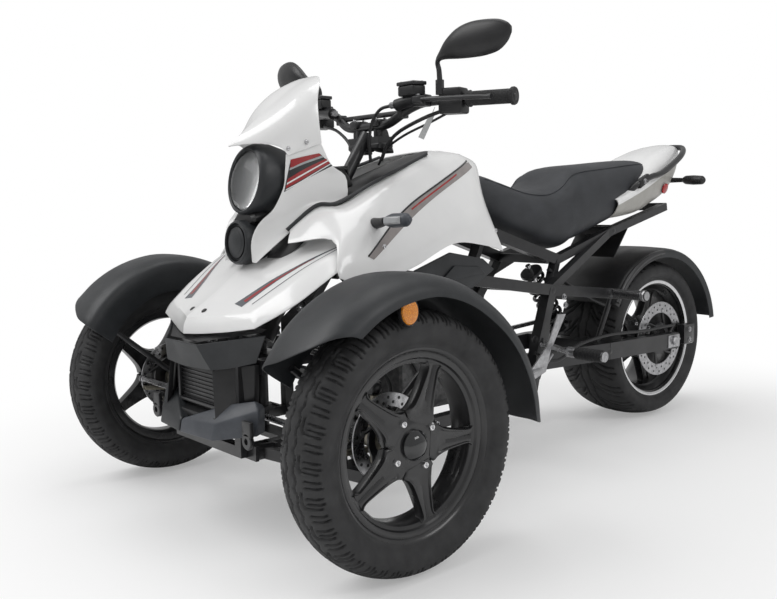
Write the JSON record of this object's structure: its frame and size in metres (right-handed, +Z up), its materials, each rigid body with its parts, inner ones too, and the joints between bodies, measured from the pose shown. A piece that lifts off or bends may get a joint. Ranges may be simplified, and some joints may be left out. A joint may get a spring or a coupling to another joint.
{
  "type": "motor trike",
  "caption": "Reverse motor trike with steered front wheels under fenders, a chain-driven rear wheel, headlight mask, stepped seat and handlebar steering.",
  "frame": {"origin": "on the floor under the middle of the vehicle's box", "axes": "+Z up, the vehicle faces -Y, +X is its left side"},
  "size_m": [1.154, 2.0095, 1.114],
  "materials": {
    "body_white": "gloss white lacquer",
    "trim_grey": "matte dark grey moulded plastic",
    "trim_black": "satin black moulded plastic",
    "frame_black": "satin black paint",
    "engine_metal": "cast, dark",
    "bare_steel": "ground",
    "spring_black": "gloss black paint",
    "rim_black": "gloss black paint",
    "rim_rear": "gloss black with a bright lip",
    "tyre_rubber": "worn matte rubber",
    "grip_rubber": "matte",
    "seat_cover": "grained vinyl",
    "lamp": "gloss black",
    "red_lens": "clear red",
    "chrome_bright": "polished",
    "cast_knuckle": "raw casting"
  },
  "bodies": {
    "chassis": {"main_frame": "frame_black", "front_subframe": "frame_black", "engine": "engine_metal", "exhaust": "spring_black", "control_arms": "frame_black", "front_shocks": "spring_black", "swingarm": "frame_black", "rear_shock": "spring_black", "drive_chain": "bare_steel", "footpegs": "bare_steel", "rear_fender": "trim_grey", "plate_bracket": "trim_black", "front_bumper": "trim_grey", "nose_cowl": "body_white", "left_side_panel": "body_white", "right_side_panel": "body_white", "dash_panel": "trim_black", "lower_side_covers": "trim_grey", "headlight_mask": "body_white", "headlight": "lamp", "lower_lamp_housing": "trim_black", "seat": "seat_cover", "tail_cowl": "body_white", "grab_rail": "frame_black", "tail_light": "red_lens", "turn_signals": "trim_black"},
    "bars": {"steering_column": "frame_black", "handlebar": "frame_black", "grips": "grip_rubber", "handlebar_controls": "trim_black", "mirrors": "trim_black"},
    "relay": {"steering_relay": "frame_black"},
    "left_upright": {"left_knuckle": "cast_knuckle", "left_fender": "trim_grey"},
    "left_wheel": {"left_rim": "rim_black", "left_tyre": "tyre_rubber", "left_disc": "bare_steel"},
    "left_link": {"left_tie_rod": "bare_steel"},
    "right_upright": {"right_knuckle": "cast_knuckle", "right_fender": "trim_grey"},
    "right_wheel": {"right_rim": "rim_black", "right_tyre": "tyre_rubber", "right_disc": "bare_steel"},
    "right_link": {"right_tie_rod": "bare_steel"},
    "rear_wheel": {"rear_rim": "rim_rear", "rear_tyre": "tyre_rubber", "rear_disc": "bare_steel", "rear_sprocket": "bare_steel"}
  },
  "joints": [
    {"name": "steering", "type": "hinge", "parent": "chassis", "child": "bars", "pos_m": [0, -0.40075, 0.905], "axis": [0, 0.5547, 0.8321], "range_deg": [-30, 30]},
    {"name": "relay_turn", "type": "hinge", "parent": "chassis", "child": "relay", "pos_m": [0, -0.74275, 0.3], "axis": [0, 0, 1], "range_deg": [-30, 30]},
    {"name": "left_kingpin", "type": "hinge", "parent": "chassis", "child": "left_upright", "pos_m": [0.423, -0.74275, 0.262], "axis": [0, 0, 1], "range_deg": [-30, 30]},
    {"name": "left_link_turn", "type": "hinge", "parent": "relay", "child": "left_link", "pos_m": [0.014, -0.83775, 0.268], "axis": [0, 0, 1], "range_deg": [-30, 30]},
    {"name": "left_wheel_spin", "type": "hinge", "parent": "left_upright", "child": "left_wheel", "pos_m": [0.501, -0.74275, 0.262], "axis": [1, 0, 0], "continuous": true},
    {"name": "right_kingpin", "type": "hinge", "parent": "chassis", "child": "right_upright", "pos_m": [-0.423, -0.74275, 0.262], "axis": [0, 0, 1], "range_deg": [-30, 30]},
    {"name": "right_link_turn", "type": "hinge", "parent": "relay", "child": "right_link", "pos_m": [-0.014, -0.83775, 0.268], "axis": [0, 0, 1], "range_deg": [-30, 30]},
    {"name": "right_wheel_spin", "type": "hinge", "parent": "right_upright", "child": "right_wheel", "pos_m": [-0.501, -0.74275, 0.262], "axis": [1, 0, 0], "continuous": true},
    {"name": "rear_wheel_spin", "type": "hinge", "parent": "chassis", "child": "rear_wheel", "pos_m": [0, 0.69975, 0.258], "axis": [1, 0, 0], "continuous": true}
  ],
  "couplings": [
    {"joint": "relay_turn", "follows": "steering", "ratio": 1},
    {"joint": "left_kingpin", "follows": "steering", "ratio": 1},
    {"joint": "left_link_turn", "follows": "steering", "ratio": -1},
    {"joint": "right_kingpin", "follows": "steering", "ratio": 1},
    {"joint": "right_link_turn", "follows": "steering", "ratio": -1}
  ]
}
